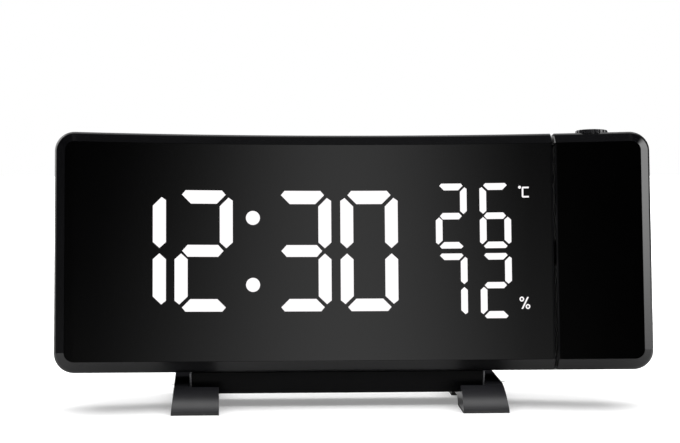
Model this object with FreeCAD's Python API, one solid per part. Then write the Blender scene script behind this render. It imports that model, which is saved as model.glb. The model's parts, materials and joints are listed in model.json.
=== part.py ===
import FreeCAD, Part
import math
import os
from FreeCAD import Placement, Rotation, Vector

# Projection alarm clock. All sizes in millimetres, +Z up, the screen faces -Y.
# The case is drawn upright: x to the right, y from the screen to the back, z up the screen.
# It is then leaned back and set on its stand. Depths are measured radially from the screen.

# Case outline
case_width = 200.0
case_height = 80.3
case_depth = 25.0
face_radius = 374.0
corner_round = 6.6
bevel = 3.5
back_round = 5.0
wall = 2.0
parting_depth = 17.5
lean_angle = 9.0
case_lift = 12.9

# Seam between the case and the projector head
seam_x = 68.0
seam_gap = 0.8
seam_lip = 0.6
seam_edge = 0.3
end_wall = 2.0

# Screen and its ledge
screen_thickness = 1.8
screen_fit = 0.1
ledge_width = 2.0
ledge_back = 5.3

# Display: big time digits, small digits, colon and the board behind them
display_left = -84.5
display_right = 60.9
display_bottom = 14.0
display_top = 69.0
well_plate = 3.0
lightbox_wall = 1.5
lightbox_back = 6.0
diffuser_thickness = 1.2
big_digit_centres = [-73.04, -50.67, -17.27, 5.4]
big_digit_height = 40.84
big_digit_width = 19.5
big_digit_z = 40.6
big_segment = 4.4
small_digit_centres = [33.32, 48.2]
small_digit_rows = [28.5, 52.2]
small_digit_height = 22.1
small_digit_width = 10.5
small_segment = 2.25
segment_gap = 0.9
colon_x = -34.05
colon_spread = 22.6
colon_z = 40.5
colon_radius = 2.4
unit_x = 57.8
unit_size = 3.6
unit_rows = [22.5, 60.1]
display_board_thickness = 1.4
led_length = 3.0
led_width = 1.4
led_height = 0.8

# Main board on stakes behind the display
board_thickness = 1.6
board_left = -40.0
board_right = 40.0
board_bottom = 42.0
board_top = 73.0
board_y = 12.5
board_stake_radius = 1.2
board_post_radius = 2.2
board_stake_inset = 3.5
chip_height = 1.2

# Keys on the back
key_pitch = 16.0
key_row_z = 60.0
key_radius = 3.8
key_clearance = 0.3
key_proud = 1.0
key_flange_radius = 4.8
key_flange_thickness = 1.0
key_flange_gap = 0.5
key_stem_radius = 1.6
key_stem_dip = 0.3
key_dish_radius = 9.0
key_dish_depth = 0.35
switch_size = 6.0
switch_height = 3.5
switch_well_radius = 1.75
switch_well_depth = 1.6

# Snooze key on top
snooze_length = 62.0
snooze_width = 6.6
snooze_y = 11.6
snooze_proud = 0.45
snooze_clearance = 0.35
snooze_flange = 1.0
snooze_flange_thickness = 1.0
snooze_flange_gap = 0.5

# Coin cell and its quarter-turn door
cell_z = 22.0
cell_radius = 10.0
cell_thickness = 3.2
cell_fit = 0.3
door_radius = 12.8
door_plate = 1.2
door_hub_radius = 11.2
door_clearance = 0.3
door_turn = 40.0
lug_radius = 12.5
lug_angle = 22.0
lug_thickness = 1.0
well_radius = 13.0
well_wall = 1.5
holder_wall = 1.6
holder_floor = 1.0
contact_thickness = 0.3
coin_slot_length = 14.0
coin_slot_width = 1.8
coin_slot_depth = 0.7

# Speaker and its grille
speaker_x = -62.0
speaker_z = 40.0
speaker_radius = 14.0
speaker_rim = 1.4
speaker_basket_depth = 3.8
speaker_magnet_radius = 7.5
speaker_magnet_depth = 2.4
grille_radius = 11.5
grille_slots = 7
grille_slot_width = 1.6
grille_pitch = 3.1

# Vents over the temperature and humidity sensor
vent_x = -38.0
vent_z = 16.0
vent_slots = 4
vent_length = 8.0
vent_width = 1.2
vent_pitch = 2.6
sensor_board = 12.0
sensor_board_thickness = 1.0
sensor_chip = 3.2
sensor_chip_height = 0.9

# Power and charging sockets on a small flat board
port_z = 9.2
port_board_thickness = 1.2
port_board_left = 24.0
port_board_right = 55.5
port_board_front = 8.4
port_board_back = 17.0
port_front = 9.2
port_setback = 0.5
port_clearance = 0.3
usb_x = 32.5
usb_width = 13.1
usb_height = 5.7
usb_skin = 0.4
usb_tongue = 1.9
usb_tongue_inset = 1.0
usb_tongue_back = 2.0
jack_x = 48.5
jack_width = 9.0
jack_height = 11.0
jack_bore = 3.2
jack_pin = 1.0
jack_depth = 9.0

# Case screws and their posts
screw_head_radius = 2.4
screw_head_height = 1.8
screw_shank_radius = 1.25
screw_grip = 6.0
screw_sink = 5.0
post_radius = 3.4
post_inset = 7.5
post_right = 60.0
head_post_x = 92.5

# Swivel of the projector head
swivel_y = 6.4
swivel_z = 40.15
spindle_radius = 4.0
spindle_bore = 2.6
spindle_fit = 0.05
bush_wall = 1.0
swivel_flange_radius = 6.2
bush_flange = 1.0
spindle_flange = 1.5
thrust_gap = 0.3
washer_thickness = 0.6
clip_thickness = 0.8
clip_groove = 0.7
spindle_tail = 1.0

# Projector optics, on an axis that runs up through the head
lens_x = 82.2
lens_depth = 9.0
lens_dish_radius = 6.6
lens_dish_depth = 0.6
ring_radius = 5.5
ring_proud = 1.3
ring_lift = 0.3
ring_neck_radius = 4.6
ring_fit = 0.05
ring_snap = 0.7
ring_snap_height = 1.0
ring_skirt = 8.0
ring_grips = 20
ring_grip_radius = 0.45
barrel_radius = 3.5
barrel_bore = 2.9
barrel_length = 15.0
barrel_recess = 0.7
focus_lens_edge = 1.2
focus_lens_crown = 0.9
tube_radius = 6.8
tube_bore = 5.6
tube_bottom = 44.4
tube_top = 70.0
shelf_z = 41.0
shelf_thickness = 2.0
shelf_x = 73.6
optic_board_thickness = 1.4
optic_led = 3.6
optic_led_height = 2.2
condenser_z = 50.0
condenser_edge = 1.5
condenser_crown = 2.2
slide_z = 57.0
slide_thickness = 1.1

# Stand: a cross bar that cradles the case, let into two feet
bar_left = -55.4
bar_right = 44.8
bar_front = -1.5
bar_back = 24.0
bar_bottom = 5.8
bar_skin = 2.4
bar_edge = 0.6
foot_width_left = 16.0
foot_width_right = 15.5
foot_outer_left = -61.6
foot_outer_right = 51.4
foot_flare = 1.1
foot_toe = -10.0
foot_heel = 36.0
foot_top = 8.6
foot_crest_y = 3.0
foot_toe_lip = 1.4
foot_block_back = 6.4
foot_heel_block = 26.0
foot_arch = 3.0
pad_thickness = 0.8
pad_inset = 1.0
foot_screw_y = 12.0
stand_screw_spread = 25.0
stand_screw_y = 9.0
stand_boss_radius = 3.0
stand_boss_height = 9.0

span = 60.0


def block(x0, x1, y0, y1, z0, z1):
    return Part.makeBox(x1 - x0, y1 - y0, z1 - z0, Vector(x0, y0, z0))


def rod(radius, start, end):
    direction = Vector(*end) - Vector(*start)
    return Part.makeCylinder(radius, direction.Length, Vector(*start), direction)


def pipe(outer, inner, start, end):
    return rod(outer, start, end).cut(rod(inner, start, end))


def join(shapes):
    shapes = list(shapes)
    return shapes[0].multiFuse(shapes[1:]).removeSplitter() if len(shapes) > 1 else shapes[0]


def group(shapes):
    return Part.makeCompound(list(shapes))


def surface_y(x, depth):
    # y of the surface that lies the given depth behind the screen, at x
    radius = face_radius + depth
    return math.sqrt(radius * radius - x * x) - face_radius


def shell_layer(depth0, depth1):
    # the layer between two depths behind the concave screen
    centre = Vector(0, -face_radius, -span)
    height = case_height + 2 * span
    outer = Part.makeCylinder(face_radius + depth1, height, centre)
    inner = Part.makeCylinder(face_radius + depth0, height, centre)
    window = block(-case_width, case_width, -span, span, -span, case_height + span)
    return outer.cut(inner).common(window)


def rounded_prism(x0, x1, z0, z1, left_round, right_round):
    # a rounded rectangle seen from the front, run through the whole depth
    corners = [(x1 - right_round, z1 - right_round, right_round, 0),
               (x0 + left_round, z1 - left_round, left_round, 90),
               (x0 + left_round, z0 + left_round, left_round, 180),
               (x1 - right_round, z0 + right_round, right_round, 270)]
    edges = []
    start = Vector(x1, -span, z0 + right_round)
    here = start
    for x, z, radius, turn in corners:
        at = [Vector(x + radius * math.cos(math.radians(turn + a)), -span,
                     z + radius * math.sin(math.radians(turn + a))) for a in (0, 45, 90)]
        if here.distanceToPoint(at[0]) > 1e-6:
            edges.append(Part.makeLine(here, at[0]))
        if radius > 0:
            edges.append(Part.Arc(*at).toShape())
        here = at[-1]
    if here.distanceToPoint(start) > 1e-6:
        edges.append(Part.makeLine(here, start))
    return Part.Face(Part.Wire(edges)).extrude(Vector(0, 2 * span, 0))


def on_depth(edge, depth):
    # True when the whole edge lies on the surface at this depth
    points = edge.discretize(5)
    return all(abs(math.hypot(p.x, p.y + face_radius) - face_radius - depth) < 1e-4 for p in points)


def case_block(inset, depth0, depth1, rear_round):
    half = case_width / 2 - inset
    outline = rounded_prism(-half, half, inset, case_height - inset, corner_round - inset, corner_round - inset)
    solid = shell_layer(depth0, depth1).common(outline)
    rear = [edge for edge in solid.Edges if on_depth(edge, depth1)]
    return solid.makeFillet(rear_round, rear)


def around_face(shape, x):
    # swing a shape drawn at x = 0 round the screen's axis until it stands at x
    angle = math.degrees(math.asin(x / (face_radius + case_depth)))
    turned = shape.copy()
    turned.rotate(Vector(0, -face_radius, 0), Vector(0, 0, 1), -angle)
    return turned


def side(x0, x1):
    return block(x0, x1, -span, span, -span, case_height + span)


# The two outer bodies, bevelled round the front and parted at the seam
outer_block = case_block(0, 0, case_depth, back_round)
outer_block = outer_block.makeChamfer(bevel, [e for e in outer_block.Edges if on_depth(e, 0)])
inner_block = case_block(wall, ledge_back, case_depth - wall, back_round - wall)
main_right = seam_x - seam_gap / 2
head_left = seam_x + seam_gap / 2
front_layer = shell_layer(0, parting_depth)
rear_layer = shell_layer(parting_depth, case_depth)


def seam_softened(body, x):
    # a small bevel round the end of a body, where it faces the seam
    def at_seam(edge):
        return all(abs(p.x - x) < 1e-4 for p in edge.discretize(4))

    return body.makeChamfer(seam_edge, [e for e in body.Edges if at_seam(e)])


main_block = seam_softened(outer_block.common(side(-case_width, main_right)), main_right)
head_block = seam_softened(outer_block.common(side(head_left, case_width)), head_left)
main_inside = side(-case_width, main_right - end_wall)
head_inside = side(head_left + end_wall, case_width)
screen_inset = bevel
throat_inset = bevel + ledge_width
screen_right = main_right - seam_lip
panel_left = head_left + seam_lip
screen_corner = corner_round - bevel
half_width = case_width / 2


def front_window(inset, depth0, depth1, x0, x1, left_round, right_round):
    # an opening in the front that keeps to the curve of the screen
    prism = rounded_prism(x0, x1, inset, case_height - inset, left_round, right_round)
    return shell_layer(depth0, depth1).common(prism)


def post_points(xs):
    return [(x, z) for x in xs for z in (post_inset, case_height - post_inset)]


main_posts = post_points([-half_width + post_inset, post_right])
head_posts = post_points([head_post_x])


def posts(points, layer):
    return group(rod(post_radius, (x, -span, z), (x, span, z)) for x, z in points).common(layer)


def screw_seat_y(x):
    return surface_y(x, case_depth) - screw_sink


def screw_holes(points):
    holes = []
    for x, z in points:
        seat = screw_seat_y(x)
        holes.append(rod(screw_head_radius + 0.2, (x, seat, z), (x, span, z)))
        holes.append(rod(screw_shank_radius, (x, seat - screw_grip, z), (x, seat, z)))
    return holes


def cover_screws(points):
    screws = []
    for x, z in points:
        seat = screw_seat_y(x)
        head = rod(screw_head_radius, (x, seat, z), (x, seat + screw_head_height, z))
        shank = rod(screw_shank_radius, (x, seat - screw_grip, z), (x, seat, z))
        screws.append(join([head, shank]))
    return group(screws)


def snooze_outline(grow):
    # the key seen from above, with round ends, as a prism through the top wall
    half = snooze_length / 2 + grow
    radius = snooze_width / 2 + grow
    bar = block(-half + radius, half - radius, snooze_y - radius, snooze_y + radius, 0, span * 2)
    ends = [rod(radius, (x, snooze_y, 0), (x, snooze_y, span * 2)) for x in (-half + radius, half - radius)]
    return join([bar] + ends)


swivel_from = head_left + end_wall + spindle_flange
swivel_to = main_right - end_wall - bush_flange
stand_centre = (bar_left + bar_right) / 2
stand_screw_xs = [stand_centre - stand_screw_spread, stand_centre + stand_screw_spread]


def stand_screw_bore(radius, z0, z1):
    return [rod(radius, (x, stand_screw_y, z0), (x, stand_screw_y, z1)) for x in stand_screw_xs]


def make_front_frame():
    throat_right = screen_right - ledge_width
    pocket = front_window(screen_inset, -1, screen_thickness, -half_width + screen_inset, screen_right,
                          screen_corner, 0)
    throat = front_window(throat_inset, screen_thickness, ledge_back, -half_width + throat_inset,
                          throat_right, 1, 0)
    inside = inner_block.common(main_inside).common(shell_layer(ledge_back, case_depth))
    frame = main_block.common(front_layer).cut(group([pocket, throat, inside]))
    bosses = stand_screw_bore(stand_boss_radius, wall / 2, stand_boss_height)
    post_layer = shell_layer(screen_thickness, parting_depth).common(main_block)
    frame = join([frame, posts(main_posts, post_layer)] + bosses)
    bush_hole = rod(spindle_radius + spindle_fit + bush_wall, (main_right - end_wall, swivel_y, swivel_z),
                    (case_width, swivel_y, swivel_z))
    snooze_hole = snooze_outline(snooze_clearance).common(block(-span, span, -span, span,
                                                                case_height / 2, case_height * 2))
    drilled = stand_screw_bore(screw_shank_radius, -1, stand_boss_height - wall / 2)
    return frame.cut(group([bush_hole, snooze_hole] + screw_holes(main_posts) + drilled))


def make_screen_lens():
    fit = screen_fit
    return front_window(screen_inset + fit, 0, screen_thickness, -half_width + screen_inset + fit,
                        screen_right - fit, screen_corner - fit, 0)


def bar_segment(x0, z0, x1, z1, thickness):
    # a six-sided light segment between two points, pointed at both ends
    along = Vector(x1 - x0, 0, z1 - z0)
    along.normalize()
    across = Vector(-along.z, 0, along.x) * (thickness / 2)
    start = Vector(x0, -span, z0)
    end = Vector(x1, -span, z1)
    slope = along * (thickness / 2)
    points = [start, start + slope + across, end - slope + across, end, end - slope - across,
              start + slope - across, start]
    return Part.Face(Part.makePolygon(points)).extrude(Vector(0, 2 * span, 0))


def digit_segments(x, z, width, height, thickness):
    # the seven segments of one figure, drawn about its centre
    left = x - width / 2 + thickness / 2
    right = x + width / 2 - thickness / 2
    low = z - height / 2 + thickness / 2
    high = z + height / 2 - thickness / 2
    gap = segment_gap / 2
    lying = [bar_segment(left + gap, level, right - gap, level, thickness) for level in (low, z, high)]
    standing = [bar_segment(at, start + gap, at, end - gap, thickness)
                for at in (left, right) for start, end in ((low, z), (z, high))]
    return lying + standing


def segment_centres():
    # every light: where its centre stands, and whether it stands upright
    lights = []
    figures = [(x, big_digit_z, big_digit_width - big_segment, big_digit_height - big_segment)
               for x in big_digit_centres]
    figures += [(x, z, small_digit_width - small_segment, small_digit_height - small_segment)
                for x in small_digit_centres for z in small_digit_rows]
    for x, z, across, high in figures:
        lights += [(x, z + level * high / 2, False) for level in (-1, 0, 1)]
        lights += [(x + s * across / 2, z + level * high / 4, True) for s in (-1, 1) for level in (-1, 1)]
    lights += [(colon_x, z, False) for z in colon_heights()]
    return lights + [(unit_x, z, True) for z in unit_rows]


def colon_heights():
    return [colon_z - colon_spread / 2, colon_z + colon_spread / 2]


def make_light_prisms():
    prisms = []
    for x in big_digit_centres:
        prisms += digit_segments(x, big_digit_z, big_digit_width, big_digit_height, big_segment)
    for x in small_digit_centres:
        for z in small_digit_rows:
            prisms += digit_segments(x, z, small_digit_width, small_digit_height, small_segment)
    prisms += [rod(colon_radius, (colon_x, -span, z), (colon_x, span, z)) for z in colon_heights()]
    half = unit_size / 2
    prisms += [block(unit_x - half, unit_x + half, -span, span, z - half, z + half) for z in unit_rows]
    return group(prisms)


light_prisms = make_light_prisms()


def make_display_housing():
    plate_back = screen_thickness + well_plate
    envelope = block(display_left, display_right, -span, lightbox_back, display_bottom, display_top)
    hollow = block(display_left + lightbox_wall, display_right - lightbox_wall, -span, span,
                   display_bottom + lightbox_wall, display_top - lightbox_wall)
    body = shell_layer(screen_thickness, case_depth).common(envelope)
    hollow = shell_layer(plate_back, case_depth * 2).common(hollow)
    return body.cut(hollow).cut(light_prisms)


def make_segment_diffusers():
    return light_prisms.common(shell_layer(screen_thickness, screen_thickness + diffuser_thickness))


def make_display_leds():
    leds = []
    for x, z, upright in segment_centres():
        long_x = led_width if upright else led_length
        long_z = led_length if upright else led_width
        leds.append(block(x - long_x / 2, x + long_x / 2, lightbox_back - led_height, lightbox_back,
                          z - long_z / 2, z + long_z / 2))
    return group(leds)


def make_display_board():
    return block(display_left, display_right, lightbox_back, lightbox_back + display_board_thickness,
                 display_bottom, display_top)


board_back = board_y + board_thickness
board_stakes = [(x, z) for x in (board_left + board_stake_inset, board_right - board_stake_inset)
                for z in (board_bottom + board_stake_inset, board_top - board_stake_inset)]
key_xs = [key_pitch * step for step in (-2, -1, 0, 1, 2)]
snooze_switch_top = case_height - wall - snooze_flange_gap - snooze_flange_thickness - 1.2


def make_main_board():
    board = block(board_left, board_right, board_y, board_back, board_bottom, board_top)
    return board.cut(group(rod(board_stake_radius, (x, 0, z), (x, span, z)) for x, z in board_stakes))


def make_board_chips():
    sizes = [(-20.0, 48.0, 10.0, 7.0), (4.0, 48.0, 7.0, 7.0), (22.0, 48.0, 5.0, 4.0), (-31.0, 52.0, 3.0, 8.0)]
    return group(block(x - w / 2, x + w / 2, board_back, board_back + chip_height, z - h / 2, z + h / 2)
                 for x, z, w, h in sizes)


def make_key_switches():
    half = switch_size / 2
    top = board_back + switch_height
    bodies = [block(x - half, x + half, board_back, top, key_row_z - half, key_row_z + half) for x in key_xs]
    wells = [rod(switch_well_radius, (x, top - switch_well_depth, key_row_z), (x, top + 1, key_row_z))
             for x in key_xs]
    return group(body.cut(well) for body, well in zip(bodies, wells))


def make_key(x):
    outer_y = surface_y(x, case_depth)
    flange_front = surface_y(x, case_depth - wall) - key_flange_gap
    flange_back = flange_front - key_flange_thickness
    tip = board_back + switch_height - key_stem_dip
    cap = rod(key_radius, (x, flange_back, key_row_z), (x, outer_y + key_proud, key_row_z))
    flange = rod(key_flange_radius, (x, flange_back, key_row_z), (x, flange_front, key_row_z))
    stem = rod(key_stem_radius, (x, tip, key_row_z), (x, flange_back, key_row_z))
    ball_y = outer_y + key_proud - key_dish_depth + key_dish_radius
    dish = Part.makeSphere(key_dish_radius, Vector(x, ball_y, key_row_z))
    return join([cap, flange, stem]).cut(dish)


def make_snooze_key():
    top = case_height + snooze_proud
    under = case_height - wall - snooze_flange_gap
    cap = snooze_outline(0).common(block(-span, span, -span, span, under, top))
    low = under - snooze_flange_thickness
    flange = snooze_outline(snooze_clearance + snooze_flange).common(block(-span, span, -span, span, low, under))
    post_y = snooze_y
    stem = rod(key_stem_radius, (0, post_y, snooze_switch_top - key_stem_dip), (0, post_y, low))
    cap = cap.makeFillet(snooze_proud * 0.6, [e for e in cap.Edges if abs(e.BoundBox.ZMin - top) < 1e-4])
    return join([cap, flange, stem])


def make_snooze_switch():
    half = switch_size / 2
    front = min(board_y, snooze_y) - half
    body = block(-half, half, front, snooze_y + half, board_top, snooze_switch_top)
    well = rod(switch_well_radius, (0, snooze_y, snooze_switch_top - switch_well_depth),
               (0, snooze_y, snooze_switch_top + 1))
    return body.cut(well)


def grille_cut():
    # a round grille made of level slots with round ends
    slots = []
    for row in range(grille_slots):
        rise = (row - (grille_slots - 1) / 2) * grille_pitch
        half = math.sqrt(grille_radius ** 2 - rise ** 2) - grille_slot_width / 2
        z = speaker_z + rise
        radius = grille_slot_width / 2
        slots.append(block(-half, half, 0, span, z - radius, z + radius))
        slots += [rod(radius, (x, 0, z), (x, span, z)) for x in (-half, half)]
    return around_face(join(slots), speaker_x)


def vent_cut():
    slots = []
    for row in range(vent_slots):
        z = vent_z + (row - (vent_slots - 1) / 2) * vent_pitch
        slots.append(block(-vent_length / 2, vent_length / 2, 0, span, z - vent_width / 2, z + vent_width / 2))
    return around_face(group(slots), vent_x)


def lug_sector(radius, y0, y1, centre_angle, grow):
    # two opposite sectors of a disc about the door's axis
    disc = rod(radius, (0, y0, cell_z), (0, y1, cell_z))
    width = 2 * radius * math.sin(math.radians(lug_angle / 2)) + 2 * grow
    strip = block(-radius - 1, radius + 1, y0 - 1, y1 + 1, cell_z - width / 2, cell_z + width / 2)
    strip.rotate(Vector(0, 0, cell_z), Vector(0, 1, 0), centre_angle)
    return disc.common(strip)


inner_rear = case_depth - wall
door_seat = case_depth - door_plate - door_clearance
holder_radius = cell_radius + cell_fit + holder_wall
cell_back = inner_rear - lug_thickness - 2 * door_clearance
cell_front = cell_back - cell_thickness
holder_floor_y = cell_front - contact_thickness - 0.9
holder_front = holder_floor_y - holder_floor


def make_rear_shell():
    inside = inner_block.common(main_inside).common(shell_layer(parting_depth - 1, case_depth))
    shell = main_block.common(rear_layer).cut(inside)
    board_posts = [rod(board_post_radius, (x, board_back, z), (x, surface_y(x, inner_rear) + 0.5, z))
                   for x, z in board_stakes]
    stakes = [rod(board_stake_radius, (x, board_y, z), (x, board_back, z)) for x, z in board_stakes]
    cell_well = pipe(well_radius + well_wall, well_radius, (0, holder_front, cell_z),
                     (0, surface_y(well_radius, inner_rear) + 0.3, cell_z))
    shell = join([shell, posts(main_posts, rear_layer.common(main_block)), cell_well] + board_posts + stakes)
    key_holes = [rod(key_radius + key_clearance, (x, surface_y(x, inner_rear) - 1, key_row_z),
                     (x, span, key_row_z)) for x in key_xs]
    door_hole = rod(door_hub_radius + door_clearance, (0, inner_rear - 1, cell_z), (0, span, cell_z))
    door_recess = rod(door_radius + door_clearance, (0, door_seat, cell_z), (0, span, cell_z))
    notches = lug_sector(lug_radius + door_clearance, inner_rear - 1, span, door_turn, door_clearance)
    usb_hole = port_cut(usb_x, usb_width, usb_height)
    jack_hole = port_cut(jack_x, jack_width, jack_height)
    cuts = key_holes + [door_hole, door_recess, notches, usb_hole, jack_hole, grille_cut(), vent_cut()]
    return shell.cut(group(cuts + screw_holes(main_posts)))


def port_cut(x, width, height):
    half = width / 2 + port_clearance
    return block(x - half, x + half, surface_y(x, inner_rear) - 1, span,
                 port_z - port_clearance, port_z + height + port_clearance)


def port_mouth(x, width):
    return surface_y(abs(x) + width / 2, case_depth) - port_setback


def make_battery_door():
    plate = rod(door_radius, (0, case_depth - door_plate, cell_z), (0, case_depth, cell_z))
    hub = rod(door_hub_radius, (0, cell_back + door_clearance, cell_z), (0, case_depth - door_plate, cell_z))
    lug_back = cell_back + door_clearance
    lugs = lug_sector(lug_radius, lug_back, lug_back + lug_thickness, 0, 0)
    coin_slot = block(-coin_slot_length / 2, coin_slot_length / 2, case_depth - coin_slot_depth, span,
                      cell_z - coin_slot_width / 2, cell_z + coin_slot_width / 2)
    return join([plate, hub, lugs]).cut(coin_slot)


def make_battery_holder():
    cup = rod(holder_radius, (0, holder_front, cell_z), (0, cell_back, cell_z))
    cup = cup.cut(rod(cell_radius + cell_fit, (0, holder_floor_y, cell_z), (0, span, cell_z)))
    rim = pipe(well_radius - 0.05, holder_radius - 0.2, (0, holder_front, cell_z),
               (0, holder_floor_y + 1, cell_z))
    return join([cup, rim])


def make_battery_contact():
    # a bowed spring leaf between the floor of the holder and the cell
    half = cell_radius * 0.7
    floor_y = holder_floor_y
    leaf_top = cell_front - contact_thickness
    lower = Part.Arc(Vector(-half, floor_y, cell_z), Vector(0, leaf_top, cell_z), Vector(half, floor_y, cell_z))
    upper = Part.Arc(Vector(-half, floor_y + contact_thickness, cell_z), Vector(0, cell_front, cell_z),
                     Vector(half, floor_y + contact_thickness, cell_z))
    ends = [Part.makeLine(Vector(x, floor_y, cell_z), Vector(x, floor_y + contact_thickness, cell_z))
            for x in (-half, half)]
    face = Part.Face(Part.Wire(Part.__sortEdges__([lower.toShape(), upper.toShape()] + ends)))
    leaf = face.extrude(Vector(0, 0, 4))
    leaf.translate(Vector(0, 0, -2))
    return leaf


def make_coin_cell():
    cell = rod(cell_radius, (0, cell_front, cell_z), (0, cell_back, cell_z))
    return cell.makeFillet(0.3, [e for e in cell.Edges if abs(e.BoundBox.YMax - cell_front) < 1e-4])


def make_speaker_basket():
    rear = inner_rear - speaker_magnet_seat
    ring = rod(speaker_radius, (0, rear, speaker_z), (0, surface_y(speaker_radius, inner_rear), speaker_z))
    bowl = Part.makeCone(speaker_magnet_radius, speaker_radius - speaker_rim, speaker_basket_depth - 1.0,
                         Vector(0, rear + 0.8, speaker_z), Vector(0, 1, 0))
    mouth = rod(speaker_radius - speaker_rim, (0, rear + speaker_basket_depth - 0.2, speaker_z),
                (0, span, speaker_z))
    return around_face(ring.cut(join([bowl, mouth])), speaker_x)


speaker_magnet_seat = speaker_basket_depth + 0.6


def make_speaker_cone():
    rear = inner_rear - speaker_magnet_seat
    depth = speaker_basket_depth - 1.0
    outer = Part.makeCone(speaker_magnet_radius, speaker_radius - speaker_rim, depth,
                          Vector(0, rear + 0.8, speaker_z), Vector(0, 1, 0))
    inner = Part.makeCone(speaker_magnet_radius, speaker_radius - speaker_rim, depth,
                          Vector(0, rear + 1.1, speaker_z), Vector(0, 1, 0))
    dome = Part.makeSphere(speaker_magnet_radius * 1.2, Vector(0, rear + 2.2 - speaker_magnet_radius * 1.2,
                                                              speaker_z))
    dome = dome.common(rod(speaker_magnet_radius * 0.6, (0, rear + 1.0, speaker_z), (0, span, speaker_z)))
    return around_face(join([outer.cut(inner), dome]), speaker_x)


def make_speaker_magnet():
    rear = inner_rear - speaker_magnet_seat
    return around_face(rod(speaker_magnet_radius, (0, rear - speaker_magnet_depth, speaker_z),
                           (0, rear, speaker_z)), speaker_x)


def make_climate_sensor():
    back = surface_y(sensor_chip / 2, inner_rear)
    chip = block(-sensor_chip / 2, sensor_chip / 2, back - sensor_chip_height, back,
                 vent_z - sensor_chip / 2, vent_z + sensor_chip / 2)
    half = sensor_board / 2
    board = block(-half, half, back - sensor_chip_height - sensor_board_thickness, back - sensor_chip_height,
                  vent_z - half, vent_z + half)
    return around_face(join([board, chip]), vent_x)


def make_port_board():
    return block(port_board_left, port_board_right, port_board_front, port_board_back,
                 port_z - port_board_thickness, port_z)


def make_usb_port():
    back = port_mouth(usb_x, usb_width)
    x0 = usb_x - usb_width / 2
    x1 = usb_x + usb_width / 2
    skin = usb_skin
    can = block(x0, x1, port_front, back, port_z, port_z + usb_height)
    bay = block(x0 + skin, x1 - skin, port_front + usb_tongue_back, span, port_z + skin, port_z + usb_height - skin)
    middle = port_z + usb_height * 0.6
    tongue = block(x0 + usb_tongue_inset, x1 - usb_tongue_inset, port_front + usb_tongue_back, back - 1.0,
                   middle - usb_tongue / 2, middle + usb_tongue / 2)
    return join([can.cut(bay), tongue])


def make_dc_jack():
    back = port_mouth(jack_x, jack_width)
    middle = port_z + jack_height / 2
    body = block(jack_x - jack_width / 2, jack_x + jack_width / 2, port_front, back, port_z, port_z + jack_height)
    bore = rod(jack_bore, (jack_x, back - jack_depth, middle), (jack_x, span, middle))
    pin = rod(jack_pin, (jack_x, back - jack_depth - 0.5, middle), (jack_x, back - 1.0, middle))
    return join([body.cut(bore), pin])


def make_pivot_bush():
    outer = spindle_radius + spindle_fit + bush_wall
    sleeve = rod(outer, (main_right - end_wall, swivel_y, swivel_z), (main_right, swivel_y, swivel_z))
    flange = rod(swivel_flange_radius, (swivel_to, swivel_y, swivel_z),
                 (main_right - end_wall, swivel_y, swivel_z))
    bore = rod(spindle_radius + spindle_fit, (0, swivel_y, swivel_z), (case_width, swivel_y, swivel_z))
    return join([sleeve, flange]).cut(bore)


washer_x = swivel_to - thrust_gap
clip_x = washer_x - washer_thickness
spindle_end = clip_x - clip_thickness - spindle_tail


def swivel_rod(radius, x0, x1):
    return rod(radius, (x0, swivel_y, swivel_z), (x1, swivel_y, swivel_z))


def make_pivot_spindle():
    body = join([swivel_rod(spindle_radius, spindle_end, swivel_from),
                 swivel_rod(swivel_flange_radius, head_left + end_wall, swivel_from)])
    groove = swivel_rod(spindle_radius + 1, clip_x - clip_thickness, clip_x)
    groove = groove.cut(swivel_rod(spindle_radius - clip_groove, 0, case_width))
    return body.cut(group([groove, swivel_rod(spindle_bore, 0, case_width)]))


def make_friction_washer():
    return swivel_rod(swivel_flange_radius - 0.3, clip_x, washer_x).cut(swivel_rod(spindle_radius, 0, case_width))


def make_spindle_clip():
    inner = spindle_radius - clip_groove
    ring = swivel_rod(swivel_flange_radius - 0.6, clip_x - clip_thickness, clip_x)
    mouth = block(0, case_width, swivel_y - inner * 0.8, swivel_y + inner * 0.8, swivel_z - 2 * span, swivel_z)
    return ring.cut(group([swivel_rod(inner, 0, case_width), mouth]))


lens_y = surface_y(lens_x, lens_depth)


def optic_rod(radius, z0, z1):
    return rod(radius, (lens_x, lens_y, z0), (lens_x, lens_y, z1))


ring_neck_top = case_height - lens_dish_depth + ring_lift


def make_head_front_shell():
    throat_left = panel_left + ledge_width
    pocket = front_window(screen_inset, -1, screen_thickness, panel_left, half_width - screen_inset,
                          0, screen_corner)
    throat = front_window(throat_inset, screen_thickness, ledge_back, throat_left,
                          half_width - throat_inset, 0, 1)
    inside = inner_block.common(head_inside).common(shell_layer(ledge_back, case_depth))
    shell = head_block.common(front_layer).cut(group([pocket, throat, inside]))
    shelf = block(shelf_x, half_width, -span, span, shelf_z, shelf_z + shelf_thickness)
    shelf = shelf.common(head_block).common(shell_layer(screen_thickness, parting_depth))
    post_layer = shell_layer(screen_thickness, parting_depth).common(head_block)
    shell = join([shell, shelf, posts(head_posts, post_layer)])
    neck_hole = optic_rod(ring_neck_radius + ring_fit, case_height / 2 + shelf_thickness * 5, case_height + 5)
    dish = optic_rod(lens_dish_radius, case_height - lens_dish_depth, case_height + 5)
    snap_bay = optic_rod(ring_neck_radius + ring_snap + ring_lift, tube_top, case_height - wall)
    spindle_hole = swivel_rod(spindle_radius, 0, head_left + end_wall)
    return shell.cut(group([neck_hole, dish, snap_bay, spindle_hole] + screw_holes(head_posts)))


def make_head_panel():
    fit = screen_fit
    return front_window(screen_inset + fit, 0, screen_thickness, panel_left + fit,
                        half_width - screen_inset - fit, 0, screen_corner - fit)


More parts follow.
